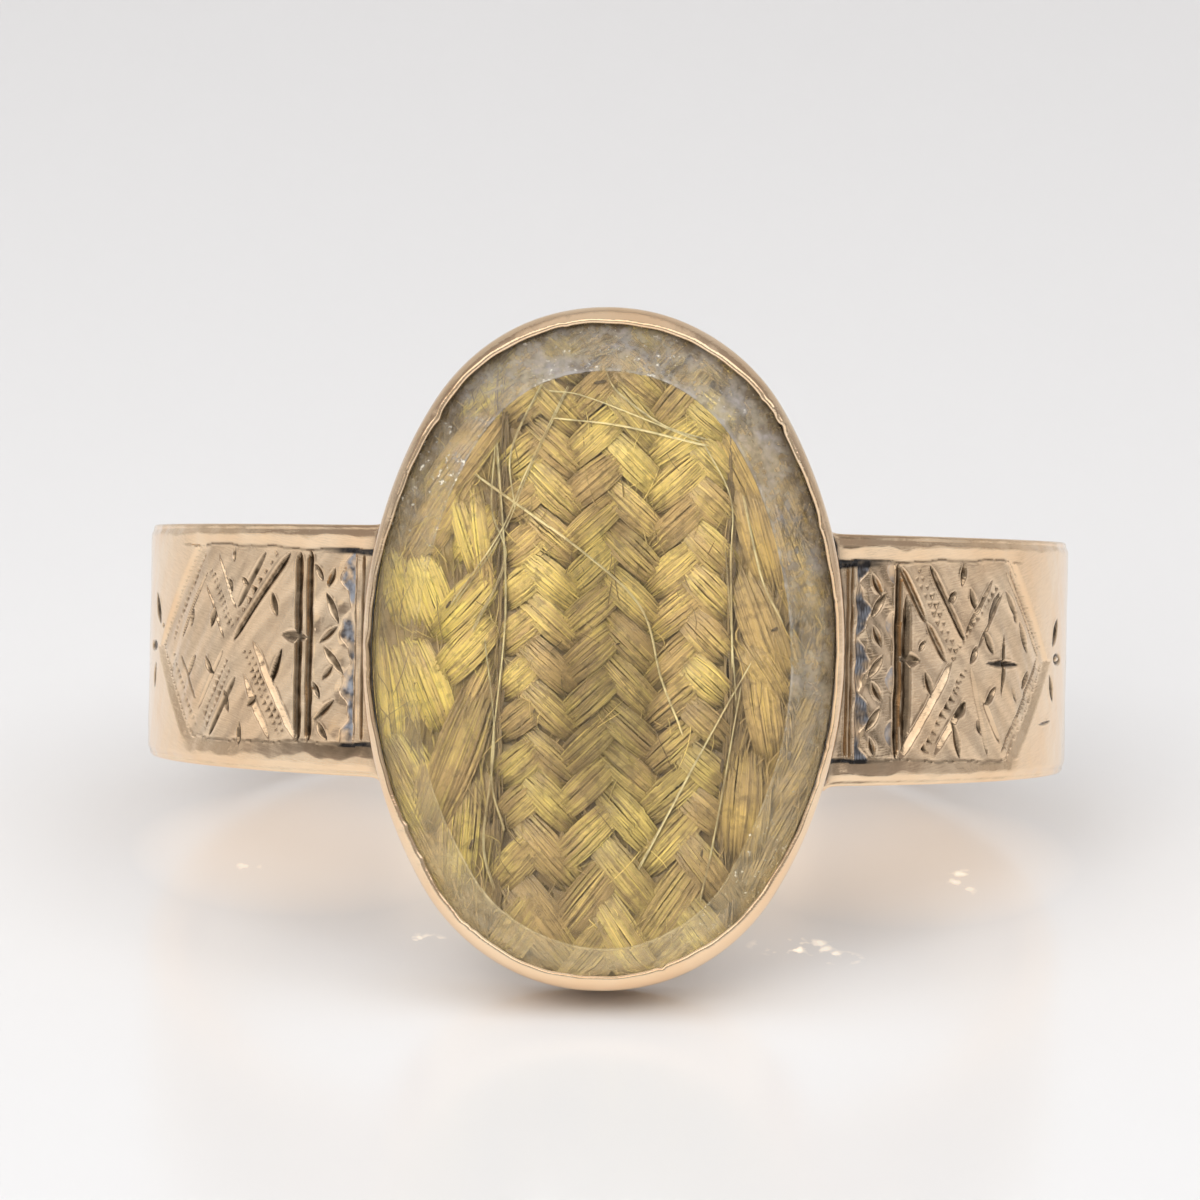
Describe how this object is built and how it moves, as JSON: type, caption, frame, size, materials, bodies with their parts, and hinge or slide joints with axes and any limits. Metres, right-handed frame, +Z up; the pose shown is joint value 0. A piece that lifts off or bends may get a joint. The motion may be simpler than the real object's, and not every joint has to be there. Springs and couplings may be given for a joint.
{
  "type": "mourning ring",
  "caption": "Wide tapering gold band with engraved shoulders and an oval bezel that holds plaited hair under bevelled glass.",
  "frame": {"origin": "middle of the ring's footprint, on the surface that it rests on", "axes": "+Z up, -Y the side that the head faces, +X to the right of someone who looks at the head; the ring lies on its side with the head leaning back by 13.7 degrees"},
  "size_m": [0.0206, 0.0244, 0.0151],
  "materials": {
    "rose_gold": "worn polished rose gold, darker in the engraving and at the solder joints",
    "crystal_glass": "clear old glass with a bevelled edge and small chips",
    "centre_hair": "plaited hair, olive brown with a soft sheen",
    "left_hair": "plaited hair, yellow brown with a soft sheen",
    "right_hair": "plaited hair, brown with a soft sheen"
  },
  "bodies": {
    "root": {"band_with_bezel": "rose_gold", "crystal": "crystal_glass", "centre_plait": "centre_hair", "left_plait": "left_hair", "right_plait": "right_hair"}
  },
  "joints": []
}
